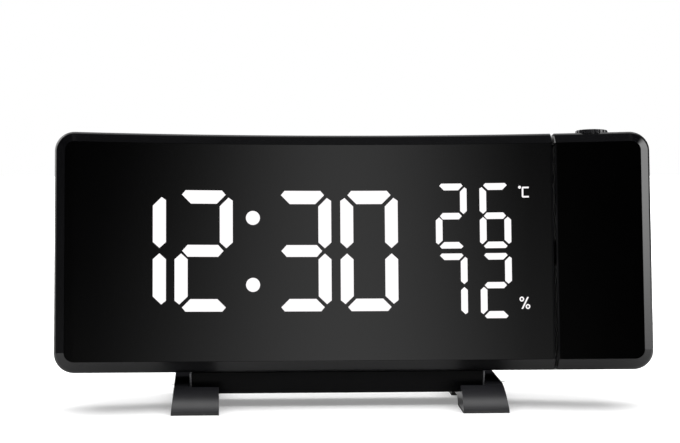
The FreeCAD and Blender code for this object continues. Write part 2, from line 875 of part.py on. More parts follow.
def make_head_rear_shell():
    inside = inner_block.common(head_inside).common(shell_layer(parting_depth - 1, case_depth))
    shell = head_block.common(rear_layer).cut(inside)
    shell = join([shell, posts(head_posts, rear_layer.common(head_block))])
    return shell.cut(group(screw_holes(head_posts)))


def make_light_tube():
    return optic_rod(tube_radius, tube_bottom, tube_top).cut(optic_rod(tube_bore, 0, case_height))


def make_projector_board():
    base = shelf_z + shelf_thickness
    return optic_rod(tube_radius, base, base + optic_board_thickness)


def make_projector_led():
    base = shelf_z + shelf_thickness + optic_board_thickness
    half = optic_led / 2
    chip = block(lens_x - half, lens_x + half, lens_y - half, lens_y + half, base, base + optic_led_height / 2)
    dome = Part.makeSphere(half * 0.8, Vector(lens_x, lens_y, base + optic_led_height / 2))
    dome = dome.common(optic_rod(half, base + optic_led_height / 2, base + optic_led_height * 2))
    return join([chip, dome])


def crowned_disc(radius, z, edge, crown, both):
    # a lens: a disc whose faces swell by the crown at the middle
    ball = (radius * radius + crown * crown) / (2 * crown)
    top = Part.makeSphere(ball, Vector(lens_x, lens_y, z + edge + crown - ball))
    cap = top.common(optic_rod(radius, z + edge, z + edge + crown + 1))
    pieces = [optic_rod(radius, z, z + edge), cap]
    if both:
        low = Part.makeSphere(ball, Vector(lens_x, lens_y, z - crown + ball))
        pieces.append(low.common(optic_rod(radius, z - crown - 1, z)))
    return join(pieces)


def make_lcd_slide():
    return optic_rod(tube_bore, slide_z, slide_z + slide_thickness)


def make_focus_ring():
    top = case_height + ring_proud
    grip = optic_rod(ring_radius, ring_neck_top, top)
    grip = grip.makeFillet(0.35, [e for e in grip.Edges if abs(e.BoundBox.ZMin - top) < 1e-4])
    neck = optic_rod(ring_neck_radius, case_height - wall - ring_skirt, ring_neck_top)
    snap_top = case_height - wall - ring_lift
    snap = optic_rod(ring_neck_radius + ring_snap, snap_top - ring_snap_height, snap_top)
    notches = []
    for step in range(ring_grips):
        angle = 2 * math.pi * step / ring_grips
        x = lens_x + ring_radius * math.cos(angle)
        y = lens_y + ring_radius * math.sin(angle)
        notches.append(rod(ring_grip_radius, (x, y, ring_neck_top), (x, y, top + 1)))
    bore = optic_rod(barrel_radius + ring_fit, 0, case_height * 2)
    return join([grip, neck, snap]).cut(group(notches + [bore]))


barrel_top = case_height + ring_proud - barrel_recess


def make_lens_barrel():
    barrel = optic_rod(barrel_radius, barrel_top - barrel_length, barrel_top)
    return barrel.cut(optic_rod(barrel_bore, 0, case_height * 2))


def make_focus_lens():
    return crowned_disc(barrel_bore, barrel_top - focus_lens_edge - 0.3, focus_lens_edge, focus_lens_crown, True)


def lean(shape):
    # from the upright case to its place on the stand
    placed = shape.copy()
    placed.rotate(Vector(0, 0, 0), Vector(1, 0, 0), -lean_angle)
    placed.translate(Vector(0, 0, case_lift))
    return placed


def side_profile(points, x0, x1):
    # points are (y, z); an arc is given as a third point between two ends, marked by a tuple of three
    edges = []
    here = Vector(x0, *points[0])
    for step in points[1:]:
        if len(step) == 4:
            middle = Vector(x0, step[0], step[1])
            there = Vector(x0, step[2], step[3])
            edges.append(Part.Arc(here, middle, there).toShape())
        else:
            there = Vector(x0, step[0], step[1])
            edges.append(Part.makeLine(here, there))
        here = there
    return Part.Face(Part.Wire(edges)).extrude(Vector(x1 - x0, 0, 0))


def under_case(y):
    # height of the case's leaning underside above the table
    return case_lift - y * math.tan(math.radians(lean_angle))


def make_stand_bar():
    front, back, skin = bar_front, bar_back, bar_skin
    outer = [(front, bar_bottom), (front, under_case(front)), (back, under_case(back)), (back, bar_bottom),
             (front, bar_bottom)]
    inner = [(front + skin, bar_bottom - 1), (front + skin, under_case(front + skin) - skin),
             (back - skin, under_case(back - skin) - skin), (back - skin, bar_bottom - 1),
             (front + skin, bar_bottom - 1)]
    bar = side_profile(outer, bar_left, bar_right)
    front_edges = [e for e in bar.Edges if e.BoundBox.YMax < front + 1e-4]
    bar = bar.makeFillet(bar_edge, front_edges)
    bar = bar.cut(side_profile(inner, bar_left + skin, bar_right - skin))
    sockets = [block(x - 3, x + 3, foot_screw_y - 3, foot_screw_y + 3, bar_bottom, bar_bottom + 5)
               for x in foot_screw_xs]
    columns = [lean(shape) for shape in stand_screw_bore(stand_boss_radius + 1, -bar_skin - 0.2, 0)]
    bar = join([bar] + [s.common(side_profile(outer, bar_left, bar_right)) for s in sockets + columns])
    holes = [lean(shape) for shape in stand_screw_bore(screw_shank_radius, -span, 0)]
    holes += [lean(shape) for shape in stand_screw_bore(screw_head_radius + 0.2, -span, -bar_skin)]
    return bar.cut(group(holes + foot_screw_bores(screw_shank_radius, 0, bar_bottom + 4)))


foot_screw_xs = [foot_outer_left + foot_width_left - 5.0, foot_outer_right - foot_width_right + 5.0]


def foot_screw_bores(radius, z0, z1):
    return [rod(radius, (x, foot_screw_y, z0), (x, foot_screw_y, z1)) for x in foot_screw_xs]


def make_foot(inner_x, outer_x):
    low = pad_thickness
    toe, heel = foot_toe, foot_heel
    rise = foot_top - foot_toe_lip
    mid_y = toe + (foot_crest_y - toe) * 0.3
    mid_z = foot_toe_lip + rise * 0.62
    outline = [(toe, low), (toe, foot_toe_lip), (mid_y, mid_z, foot_crest_y, foot_top),
               (heel - 3, foot_top), (heel - 0.88, foot_top - 0.88, heel, foot_top - 3),
               (heel, low), (foot_heel_block, low), (foot_heel_block - 2, foot_arch),
               (foot_block_back + 2, foot_arch), (foot_block_back, low), (toe, low)]
    low_x, high_x = min(inner_x, outer_x), max(inner_x, outer_x)
    foot = side_profile(outline, low_x, high_x)
    outward = 1 if outer_x > inner_x else -1
    flare_top = outer_x - outward * foot_flare
    wedge = Part.makePolygon([Vector(outer_x, -span, low), Vector(flare_top, -span, foot_top + 0.01),
                              Vector(outer_x + outward, -span, foot_top + 0.01), Vector(outer_x + outward, -span, low),
                              Vector(outer_x, -span, low)])
    foot = foot.cut(Part.Face(wedge).extrude(Vector(0, 2 * span, 0)))
    notch = block(bar_left, bar_right, bar_front, bar_back, bar_bottom, span)
    bores = foot_screw_bores(screw_shank_radius, 0, bar_bottom)
    heads = foot_screw_bores(screw_head_radius + 0.2, 0, foot_arch + 1.2)
    return foot.cut(group([notch] + bores + heads))


foot_spans = [(foot_outer_left, foot_outer_left + foot_width_left),
              (foot_outer_right - foot_width_right, foot_outer_right)]


def make_foot_pads():
    pads = []
    for x0, x1 in foot_spans:
        for y0, y1 in ((foot_toe, foot_block_back), (foot_heel_block, foot_heel)):
            inset = pad_inset
            pads.append(block(x0 + inset, x1 - inset, y0 + inset, y1 - inset, 0, pad_thickness))
    return group(pads)


def make_foot_screws():
    heads = foot_screw_bores(screw_head_radius, foot_arch - 0.4, foot_arch + 1.2)
    shanks = foot_screw_bores(screw_shank_radius, foot_arch + 1.2, bar_bottom + 4)
    return group(join([head, shank]) for head, shank in zip(heads, shanks))


def make_stand_screws():
    heads = stand_screw_bore(screw_head_radius, -bar_skin - screw_head_height, -bar_skin)
    shanks = stand_screw_bore(screw_shank_radius, -bar_skin, stand_boss_height - wall / 2)
    return group(join([head, shank]) for head, shank in zip(heads, shanks))


case_parts = {
    "front_frame": make_front_frame(),
    "screen_lens": make_screen_lens(),
    "display_housing": make_display_housing(),
    "segment_diffusers": make_segment_diffusers(),
    "display_leds": make_display_leds(),
    "display_board": make_display_board(),
    "main_board": make_main_board(),
    "board_chips": make_board_chips(),
    "key_switches": make_key_switches(),
    "snooze_switch": make_snooze_switch(),
    "rear_shell": make_rear_shell(),
    "battery_door": make_battery_door(),
    "battery_holder": make_battery_holder(),
    "battery_contact": make_battery_contact(),
    "coin_cell": make_coin_cell(),
    "speaker_basket": make_speaker_basket(),
    "speaker_cone": make_speaker_cone(),
    "speaker_magnet": make_speaker_magnet(),
    "climate_sensor": make_climate_sensor(),
    "port_board": make_port_board(),
    "usb_port": make_usb_port(),
    "dc_jack": make_dc_jack(),
    "case_screws": cover_screws(main_posts),
    "stand_screws": make_stand_screws(),
    "pivot_bush": make_pivot_bush(),
    "snooze_key": make_snooze_key(),
    "pivot_spindle": make_pivot_spindle(),
    "friction_washer": make_friction_washer(),
    "spindle_clip": make_spindle_clip(),
    "head_front_shell": make_head_front_shell(),
    "head_panel": make_head_panel(),
    "head_rear_shell": make_head_rear_shell(),
    "head_screws": cover_screws(head_posts),
    "light_tube": make_light_tube(),
    "projector_board": make_projector_board(),
    "projector_led": make_projector_led(),
    "condenser_lens": crowned_disc(tube_bore, condenser_z, condenser_edge, condenser_crown, False),
    "lcd_slide": make_lcd_slide(),
    "focus_ring": make_focus_ring(),
    "lens_barrel": make_lens_barrel(),
    "focus_lens": make_focus_lens(),
}
key_names = ["set_key", "alarm_key", "up_key", "down_key", "projector_key"]
for key_name, key_x in zip(key_names, key_xs):
    case_parts[key_name] = make_key(key_x)

stand_parts = {
    "stand_bar": make_stand_bar(),
    "left_foot": make_foot(foot_spans[0][1], foot_spans[0][0]),
    "right_foot": make_foot(foot_spans[1][0], foot_spans[1][1]),
    "foot_pads": make_foot_pads(),
    "foot_screws": make_foot_screws(),
}

# The origin is the middle of the base of the whole clock's outline
placed = {name: lean(shape) for name, shape in case_parts.items()}
placed.update(stand_parts)
bounds = group(placed.values()).optimalBoundingBox(False, False)
origin_shift = Vector(-(bounds.XMin + bounds.XMax) / 2, -(bounds.YMin + bounds.YMax) / 2, -bounds.ZMin)

os.makedirs("parts", exist_ok=True)
for name, shape in placed.items():
    shape.translate(origin_shift)
    shape.exportStep("parts/" + name + ".step")
print("origin shift", origin_shift)
print("outline", bounds)
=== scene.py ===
"""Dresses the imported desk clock: finishes, lit figures, stand bar, pads, screw recesses, studio."""
import json
import math

import bmesh
import bpy
from mathutils import Euler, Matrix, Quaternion, Vector


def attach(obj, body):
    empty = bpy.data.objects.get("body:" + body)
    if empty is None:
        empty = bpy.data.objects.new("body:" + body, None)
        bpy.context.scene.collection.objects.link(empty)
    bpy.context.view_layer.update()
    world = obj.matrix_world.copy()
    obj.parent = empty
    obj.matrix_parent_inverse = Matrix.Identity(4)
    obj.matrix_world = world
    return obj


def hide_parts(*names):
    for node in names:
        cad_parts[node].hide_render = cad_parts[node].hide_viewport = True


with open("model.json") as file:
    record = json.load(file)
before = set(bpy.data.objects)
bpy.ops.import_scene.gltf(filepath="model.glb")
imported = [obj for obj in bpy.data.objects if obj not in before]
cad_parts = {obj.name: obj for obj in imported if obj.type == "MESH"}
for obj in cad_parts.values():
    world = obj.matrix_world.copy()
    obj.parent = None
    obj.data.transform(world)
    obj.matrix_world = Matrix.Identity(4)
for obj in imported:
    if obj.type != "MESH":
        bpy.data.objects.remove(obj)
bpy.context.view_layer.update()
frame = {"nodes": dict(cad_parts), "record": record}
NODES = frame["nodes"]

# Where the upright case stands in the row frame, in millimetres
MM = 0.001
LEAN = math.radians(9.0)
CASE_LIFT = 12.9
CASE_SHIFT = -12.44857
FACE_RADIUS = 374.0
CASE_WIDTH = 200.0
CASE_HEIGHT = 80.3
CASE_DEPTH = 25.0
CORNER_ROUND = 6.6
# The rolled edge of the case's front, and how deep from the face it reaches
RIM_ROUND = 3.0
FRONT_LAYER = 4.7


def case_point(x, y, z):
    """A point of the upright case, in millimetres, in its place in the row frame."""
    back = y * math.cos(LEAN) + z * math.sin(LEAN) + CASE_SHIFT
    up = z * math.cos(LEAN) - y * math.sin(LEAN) + CASE_LIFT
    return Vector((x, back, up)) * MM


def on_screen(x, z, depth=0.0):
    """A point on the concave screen, or the given depth behind it."""
    radius = FACE_RADIUS + depth
    return case_point(x, math.sqrt(radius * radius - x * x) - FACE_RADIUS, z)


# ---------------------------------------------------------------- materials
def new_material(name):
    material = bpy.data.materials.new(name)
    material.use_nodes = True
    tree = material.node_tree
    return material, tree, tree.nodes["Principled BSDF"]


def node(tree, kind, **sockets):
    made = tree.nodes.new(kind)
    for key, value in sockets.items():
        made.inputs[key.replace("_", " ")].default_value = value
    return made


def feed(tree, socket, value):
    """Links the socket to another node's output, or sets it to a plain value."""
    if isinstance(value, bpy.types.NodeSocket):
        tree.links.new(value, socket)
    elif value is not None:
        socket.default_value = value


def math_node(tree, operation, a, b=None):
    made = tree.nodes.new("ShaderNodeMath")
    made.operation = operation
    feed(tree, made.inputs[0], a)
    feed(tree, made.inputs[1], b)
    return made.outputs[0]


def object_coords(tree):
    return tree.nodes.new("ShaderNodeTexCoord").outputs["Object"]


def noise(tree, scale, detail=2.0):
    made = node(tree, "ShaderNodeTexNoise", Scale=scale, Detail=detail)
    tree.links.new(object_coords(tree), made.inputs["Vector"])
    return made.outputs["Fac"]


def spread(tree, value, low, high):
    made = node(tree, "ShaderNodeMapRange", To_Min=low, To_Max=high)
    tree.links.new(value, made.inputs["Value"])
    return made.outputs["Result"]


def ramped(tree, value, low, high, from_value, to_value, kind="SMOOTHSTEP"):
    """From from_value at low to to_value at high, smoothly unless the kind says otherwise."""
    made = node(tree, "ShaderNodeMapRange", From_Min=low, From_Max=high, To_Min=from_value, To_Max=to_value)
    made.interpolation_type = kind
    tree.links.new(value, made.inputs["Value"])
    return made.outputs["Result"]


def tinted(tree, value, low, high):
    ramp = tree.nodes.new("ShaderNodeValToRGB")
    ramp.color_ramp.elements[0].position = 0.35
    ramp.color_ramp.elements[0].color = (*low, 1)
    ramp.color_ramp.elements[1].position = 0.65
    ramp.color_ramp.elements[1].color = (*high, 1)
    tree.links.new(value, ramp.inputs["Fac"])
    return ramp.outputs["Color"]


def vector_node(tree, operation, a, b=None):
    made = tree.nodes.new("ShaderNodeVectorMath")
    made.operation = operation
    feed(tree, made.inputs[0], a)
    feed(tree, made.inputs[1], b)
    return made.outputs["Value" if operation == "LENGTH" else "Vector"]


def scaled(tree, vector, factor):
    made = tree.nodes.new("ShaderNodeVectorMath")
    made.operation = "SCALE"
    feed(tree, made.inputs[0], vector)
    feed(tree, made.inputs["Scale"], factor)
    return made.outputs["Vector"]


def turned(tree, vector, angle):
    """The vector turned about the x axis."""
    made = node(tree, "ShaderNodeVectorRotate", Angle=angle)
    made.rotation_type = "X_AXIS"
    tree.links.new(vector, made.inputs["Vector"])
    return made.outputs["Vector"]


def xyz(tree, vector):
    made = tree.nodes.new("ShaderNodeSeparateXYZ")
    tree.links.new(vector, made.inputs[0])
    return made.outputs


def packed(tree, x, y, z):
    made = tree.nodes.new("ShaderNodeCombineXYZ")
    for socket, value in zip(made.inputs, (x, y, z)):
        feed(tree, socket, value)
    return made.outputs[0]


def rounded_rim(tree):
    """The normal of the case's front, with its outer edge rolled over into the sides."""
    moved = vector_node(tree, "SUBTRACT", object_coords(tree), (0, CASE_SHIFT * MM, CASE_LIFT * MM))
    local = turned(tree, moved, LEAN)
    x, y, z = xyz(tree, local)
    from_middle = packed(tree, x, 0, math_node(tree, "SUBTRACT", z, CASE_HEIGHT * MM / 2))
    reach = vector_node(tree, "ABSOLUTE", from_middle)
    straight = ((CASE_WIDTH / 2 - CORNER_ROUND) * MM, 0, (CASE_HEIGHT / 2 - CORNER_ROUND) * MM)
    past = vector_node(tree, "MAXIMUM", vector_node(tree, "SUBTRACT", reach, straight), (0, 0, 0))
    inset = math_node(tree, "SUBTRACT", CORNER_ROUND * MM, vector_node(tree, "LENGTH", past))
    outward = vector_node(tree, "MULTIPLY", vector_node(tree, "NORMALIZE", past),
                          vector_node(tree, "SIGN", from_middle))
    to_axis = vector_node(tree, "SUBTRACT", (0, -FACE_RADIUS * MM, 0), packed(tree, x, y, 0))
    forward = vector_node(tree, "NORMALIZE", to_axis)
    depth = math_node(tree, "SUBTRACT", vector_node(tree, "LENGTH", to_axis), FACE_RADIUS * MM)
    slide = math_node(tree, "MAXIMUM", inset, 0.0)
    cosine = math_node(tree, "SUBTRACT", 1.0, math_node(tree, "DIVIDE", slide, RIM_ROUND * MM))
    cosine = math_node(tree, "MAXIMUM", cosine, 0.0)
    squared = math_node(tree, "MULTIPLY", cosine, cosine)
    sine = math_node(tree, "SQRT", math_node(tree, "SUBTRACT", 1.0, squared))
    rolled = vector_node(tree, "ADD", scaled(tree, outward, cosine), scaled(tree, forward, sine))
    rolled = turned(tree, rolled, -LEAN)
    to_world = tree.nodes.new("ShaderNodeVectorTransform")
    to_world.vector_type = "NORMAL"
    to_world.convert_from = "OBJECT"
    to_world.convert_to = "WORLD"
    tree.links.new(rolled, to_world.inputs[0])
    near_rim = math_node(tree, "LESS_THAN", inset, RIM_ROUND * (1 - math.sqrt(0.5)) * MM)
    near_front = math_node(tree, "LESS_THAN", depth, FRONT_LAYER * MM)
    choose = tree.nodes.new("ShaderNodeMix")
    choose.data_type = "VECTOR"
    tree.links.new(math_node(tree, "MULTIPLY", near_rim, near_front), choose.inputs["Factor"])
    geometry = tree.nodes.new("ShaderNodeNewGeometry")
    vectors = [socket for socket in choose.inputs if socket.type == "VECTOR" and socket.enabled]
    tree.links.new(geometry.outputs["Normal"], vectors[-2])
    tree.links.new(to_world.outputs[0], vectors[-1])
    return next(socket for socket in choose.outputs if socket.type == "VECTOR")


TONE_SPREAD = 0.15
GLOSS_SPREAD = 0.12
BROAD_SCALE, FINE_SCALE = 60.0, 420.0
GRAIN_DEPTH = 0.00005


def finish(name, colour, roughness, grain=0.0, grain_scale=2500.0, metallic=0.0, specular=0.5,
           ior=1.46, normal_from=None):
    """A moulded or turned surface: slight tone and gloss changes, and a fine grain in its relief."""
    material, tree, shader = new_material(name)
    dark = [c * (1 - TONE_SPREAD) for c in colour]
    light = [c * (1 + TONE_SPREAD) for c in colour]
    tree.links.new(tinted(tree, noise(tree, BROAD_SCALE), dark, light), shader.inputs["Base Color"])
    gloss = spread(tree, noise(tree, FINE_SCALE, 3.0),
                   roughness * (1 - GLOSS_SPREAD), roughness * (1 + GLOSS_SPREAD))
    tree.links.new(gloss, shader.inputs["Roughness"])
    shader.inputs["Metallic"].default_value = metallic
    shader.inputs["Specular IOR Level"].default_value = specular
    shader.inputs["IOR"].default_value = ior
    normal = normal_from(tree) if normal_from else None
    if grain:
        bump = node(tree, "ShaderNodeBump", Strength=grain, Distance=GRAIN_DEPTH)
        tree.links.new(noise(tree, grain_scale), bump.inputs["Height"])
        if normal:
            tree.links.new(normal, bump.inputs["Normal"])
        normal = bump.outputs["Normal"]
    if normal:
        tree.links.new(normal, shader.inputs["Normal"])
    return material


def glow(name, colour, strength):
    material, tree, shader = new_material(name)
    tree.links.new(tinted(tree, noise(tree, 900.0), [c * 0.985 for c in colour], colour),
                   shader.inputs["Emission Color"])
    shader.inputs["Emission Strength"].default_value = strength
    shader.inputs["Base Color"].default_value = (0.05, 0.05, 0.05, 1)
    tree.links.new(spread(tree, noise(tree, FINE_SCALE), 0.3, 0.4), shader.inputs["Roughness"])
    shader.inputs["Specular IOR Level"].default_value = 0.0
    return material


def lens_glass(name):
    material, tree, shader = new_material(name)
    shader.inputs["Transmission Weight"].default_value = 1.0
    shader.inputs["IOR"].default_value = 1.5
    shader.inputs["Base Color"].default_value = (0.92, 0.95, 0.98, 1)
    tree.links.new(spread(tree, noise(tree, 300.0), 0.01, 0.05), shader.inputs["Roughness"])
    return material


def by_height(tree, level, width, below, above):
    """One value under a height in millimetres and another over it, blended over the width."""
    height_here = xyz(tree, object_coords(tree))[2]
    return ramped(tree, height_here, level * MM, (level + width) * MM, below, above, "LINEAR")


def gloss_shaded_above(material, level, width):
    """Painted shade: no gloss above a height, where the stand only faces the dark underside of the case."""
    tree = material.node_tree
    socket = tree.nodes["Principled BSDF"].inputs["Specular IOR Level"]
    tree.links.new(by_height(tree, level, width, socket.default_value, 0.0), socket)


def roughened_below(material, level, width, factor):
    """A duller bottom edge, which mirrors the stand only as a blur."""
    tree = material.node_tree
    socket = tree.nodes["Principled BSDF"].inputs["Roughness"]
    fine = socket.links[0].from_socket
    more = by_height(tree, level, width, factor, 1.0)
    tree.links.new(math_node(tree, "MULTIPLY", fine, more), socket)


BLACK = (0.0022, 0.0022, 0.0026)
CASE_FRONT = finish("case_front_plastic", BLACK, 0.1, grain=0.02,
                    specular=0.33, normal_from=rounded_rim)
CASE_REAR = finish("case_rear_plastic", (0.013, 0.013, 0.014), 0.42, grain=0.6, grain_scale=3200.0)
SCREEN = finish("screen_acrylic", (0.0003, 0.0003, 0.00035), 0.05, ior=1.49)
HEAD_PANEL = finish("head_panel_acrylic", (0.0003, 0.0003, 0.0003), 0.1, specular=0.12)
KEYS = finish("key_plastic", (0.02, 0.02, 0.021), 0.33, grain=0.3)
DOOR = finish("door_plastic", (0.014, 0.014, 0.015), 0.4, grain=0.6, grain_scale=3200.0)
STAND = finish("stand_plastic", (0.011, 0.011, 0.0125), 0.3, grain=0.25, specular=0.42)
# The bar is the stand's plastic made darker and less glossy: painted shade from the case above it
BAR_PAINTED_SHADE = finish("bar_plastic_painted_shade", (0.0016, 0.0016, 0.0018), 0.35, grain=0.25, specular=0.06)
# Light grey finish for the bar's thin end plates: a painted highlight on its rounded end edges
BAR_END_HIGHLIGHT = finish("bar_end_painted_highlight", (0.13, 0.13, 0.14), 0.4, grain=0.25)
# Near black for the screws' cross recesses: painted shade inside them
RECESS_SHADE = finish("screw_recess", (0.01, 0.01, 0.01), 0.5, grain=0.2)
RUBBER = finish("pad_rubber", (0.02, 0.02, 0.02), 0.75, grain=0.8, grain_scale=1800.0)
STEEL = finish("screw_steel", (0.16, 0.16, 0.17), 0.32, metallic=1.0, grain=0.2)
PORT_STEEL = finish("port_steel", (0.62, 0.62, 0.62), 0.25, metallic=1.0, grain=0.15)
JACK = finish("jack_plastic", (0.018, 0.018, 0.018), 0.5, grain=0.4)
CONE = finish("speaker_cone_paper", (0.025, 0.025, 0.027), 0.85, grain=1.0, grain_scale=1500.0)
MAGNET = finish("magnet_steel", (0.35, 0.35, 0.36), 0.4, metallic=1.0)
BOARD = finish("circuit_board", (0.01, 0.09, 0.035), 0.4, grain=0.3)
CHIP = finish("chip_black", (0.02, 0.02, 0.02), 0.55, grain=0.5)
LIGHT_BOX = finish("light_box_white", (0.75, 0.75, 0.73), 0.5, grain=0.3)
DIFFUSER = finish("diffuser_white", (0.8, 0.8, 0.8), 0.45)
RING = finish("ring_plastic", (0.009, 0.009, 0.01), 0.28, grain=0.15)
SPINDLE = finish("spindle_plastic", (0.03, 0.03, 0.032), 0.4, grain=0.3)
GLASS = lens_glass("lens_clear")
LIT = glow("lit_figure", (1.0, 0.972, 0.984), 1.0)

FOOT_TOP, FOOT_BLEND = 7.9, 0.5
BEVEL_TOP, BEVEL_BLEND, BEVEL_DULLING = 15.6, 4.0, 4.0
# Painted shade: no gloss on the stand's tops, which lie under the case
gloss_shaded_above(STAND, FOOT_TOP, FOOT_BLEND)
roughened_below(CASE_FRONT, BEVEL_TOP, BEVEL_BLEND, BEVEL_DULLING)

BY_SLOT = {
    "case_plastic": CASE_REAR, "screen_acrylic": SCREEN, "light_box": LIGHT_BOX, "diffuser": DIFFUSER,
    "led": LIGHT_BOX, "circuit_board": BOARD, "chip_black": CHIP, "key_plastic": KEYS,
    "door_plastic": DOOR, "holder_plastic": JACK, "spring_steel": PORT_STEEL, "cell_steel": PORT_STEEL,
    "speaker_cone": CONE, "magnet": MAGNET, "jack_plastic": JACK, "screw_steel": STEEL,
    "spindle_plastic": SPINDLE, "stand_plastic": STAND, "pad_rubber": RUBBER, "lens_clear": GLASS,
    "ring_plastic": RING,
}
BY_NODE = {"front_frame": CASE_FRONT, "head_front_shell": CASE_FRONT, "head_panel": HEAD_PANEL,
           "usb_port": PORT_STEEL, "head_rear_shell": CASE_REAR, "stand_bar": BAR_PAINTED_SHADE}

slots = {part["node"]: part["material_slot"] for part in frame["record"]["subparts"]}
for name, obj in NODES.items():
    material = BY_NODE.get(name) or BY_SLOT[slots[name]]
    if not obj.material_slots:
        obj.data.materials.append(material)
    for slot in obj.material_slots:
        slot.material = material


# ---------------------------------------------------------------- pieces
def mesh_piece(name, bm, material, body):
    """Turns the built form into a piece of the scene that moves with its body."""
    bmesh.ops.recalc_face_normals(bm, faces=bm.faces[:])
    mesh = bpy.data.meshes.new(name)
    bm.to_mesh(mesh)
    bm.free()
    obj = bpy.data.objects.new(name, mesh)
    bpy.context.scene.collection.objects.link(obj)
    mesh.materials.append(material)
    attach(obj, body)
    return obj


# ---------------------------------------------------------------- lit figures on the screen
FIGURE_PROUD = 0.05
FIGURE_SUNK = 0.03
STRIP = 2.5


def lit_piece(name, outlines):
    """Flat outlines in x and z, laid on the curved screen as one thin lit piece."""
    bm = bmesh.new()
    for outline in outlines:
        bm.faces.new([bm.verts.new((x, 0.0, z)) for x, z in outline])
    lowest = min(v.co.x for v in bm.verts)
    highest = max(v.co.x for v in bm.verts)
    cut = lowest + STRIP
    while cut < highest:
        geom = bm.verts[:] + bm.edges[:] + bm.faces[:]
        bmesh.ops.bisect_plane(bm, geom=geom, plane_co=(cut, 0, 0), plane_no=(1, 0, 0))
        cut += STRIP
    made = bmesh.ops.extrude_face_region(bm, geom=bm.faces[:])
    fronts = {g for g in made["geom"] if isinstance(g, bmesh.types.BMVert)}
    for v in bm.verts:
        depth = -FIGURE_PROUD if v in fronts else FIGURE_SUNK
        v.co = on_screen(v.co.x, v.co.z, depth)
    return mesh_piece(name, bm, LIT, "clock_body")


# Rows are heights above the bottom of the case. A lying bar's columns are measured from the
# left edge of its figure. Chamfers and shifts are shares of a bar's own breadth.
BIG_WIDTH, BIG_BAR, BIG_LYING = 19.52, 4.37, (2.44, 17.15)
BIG_ROWS = {"a": (56.5, 61.0), "bf": (41.5, 58.6), "g": (38.6, 42.6), "ce": (22.6, 39.7), "d": (20.2, 24.4)}
SMALL_WIDTH, SMALL_BAR, SMALL_LYING = 10.5, 2.24, (1.3, 9.2)
SMALL_HIGH = {"a": (61.0, 63.3), "bf": (52.9, 62.0), "g": (51.1, 53.3), "ce": (42.6, 51.8), "d": (41.2, 43.4)}
SMALL_LOW = {"a": (37.3, 39.5), "bf": (29.1, 38.3), "g": (27.6, 29.7), "ce": (18.9, 28.1), "d": (17.5, 19.9)}
CHAMFER, LONGER, SHORTER, LOW_LONGER = 0.45, 0.22, 0.17, 0.16
TIP_SHIFT, LOW_TIP_SHIFT = 0.17, 0.14
MIDDLE_START = 0.1
MIDDLE_SHORT = 0.75 / BIG_BAR


def upright(left, right, low, high, slant_high, slant_low):
    """An upright bar. A slant of +1 puts its tip to the right of the middle, -1 to the left, 0 midway."""
    wide = right - left
    top_x = (left + right) / 2 + slant_high * wide * TIP_SHIFT
    low_x = (left + right) / 2 + slant_low * wide * LOW_TIP_SHIFT
    drop_l = wide * (CHAMFER + LONGER * slant_high)
    drop_r = wide * (CHAMFER - LONGER * slant_high)
    rise_l = wide * (CHAMFER + LOW_LONGER * slant_low)
    rise_r = wide * (CHAMFER - LOW_LONGER * slant_low)
    return [(left, low + rise_l), (low_x, low), (right, low + rise_r), (right, high - drop_r),
            (top_x, high), (left, high - drop_l)]


def lying(left, right, low, high, outer):
    """A lying bar. outer is +1 for the top bar, -1 for the bottom one and 0 for the middle one."""
    tall = high - low
    tip = (low + high) / 2 + outer * tall * TIP_SHIFT
    near_high = tall * (CHAMFER - (SHORTER if outer > 0 else LONGER) * outer)
    near_low = tall * (CHAMFER + (LONGER if outer > 0 else SHORTER) * outer)
    return [(left, tip), (left + near_low, low), (right - near_low, low), (right, tip),
            (right - near_high, high), (left + near_high, high)]


def figure(bars, left, width, bar, rows, inner_left, inner_right):
    """The outlines of the lit bars of one figure whose left edge is at left."""
    right = left + width
    made = []
    for key in bars:
        if key == "g":
            made.append(lying(left + inner_left + MIDDLE_START, left + inner_right - MIDDLE_SHORT * bar,
                              *rows["g"], 0))
        elif key in "ad":
            made.append(lying(left + inner_left, left + inner_right, *rows[key], 1 if key == "a" else -1))
        else:
            x0 = right - bar if key in "bc" else left
            slant = 1 if key in "bc" else -1
            if key in "bf":
                made.append(upright(x0, x0 + bar, *rows["bf"], slant, 0))
            else:
                made.append(upright(x0, x0 + bar, *rows["ce"], 0, slant))
    return made


BARS = {"0": "abcdef", "1": "bc", "2": "abged", "3": "abgcd", "6": "afgcde", "7": "abc"}
for label, glyph, left in (("hour_ten", "1", -82.76), ("hour_one", "2", -60.38),
                           ("minute_ten", "3", -27.0), ("minute_one", "0", -4.36)):
    lit_piece(label, figure(BARS[glyph], left, BIG_WIDTH, BIG_BAR, BIG_ROWS, *BIG_LYING))
TENS_LEFT, ONES_LEFT = 28.07, 42.92
SMALL_FIGURES = (("degrees_ten", "2", TENS_LEFT, SMALL_HIGH), ("degrees_one", "6", ONES_LEFT, SMALL_HIGH),
                 ("humidity_ten", "7", TENS_LEFT, SMALL_LOW), ("humidity_one", "2", ONES_LEFT, SMALL_LOW))
for label, glyph, left, rows in SMALL_FIGURES:
    lit_piece(label, figure(BARS[glyph], left, SMALL_WIDTH, SMALL_BAR, rows, *SMALL_LYING))


def ring_points(x, z, radius_x, radius_z, steps=28):
    turns = [2 * math.pi * i / steps for i in range(steps)]
    return [(x + radius_x * math.cos(turn), z + radius_z * math.sin(turn)) for turn in turns]


def band(points_out, points_in):
    """A closed band between two rings of points, as four-sided outlines."""
    count = len(points_out)
    return [[points_out[i], points_out[(i + 1) % count], points_in[(i + 1) % count], points_in[i]]
            for i in range(count)]


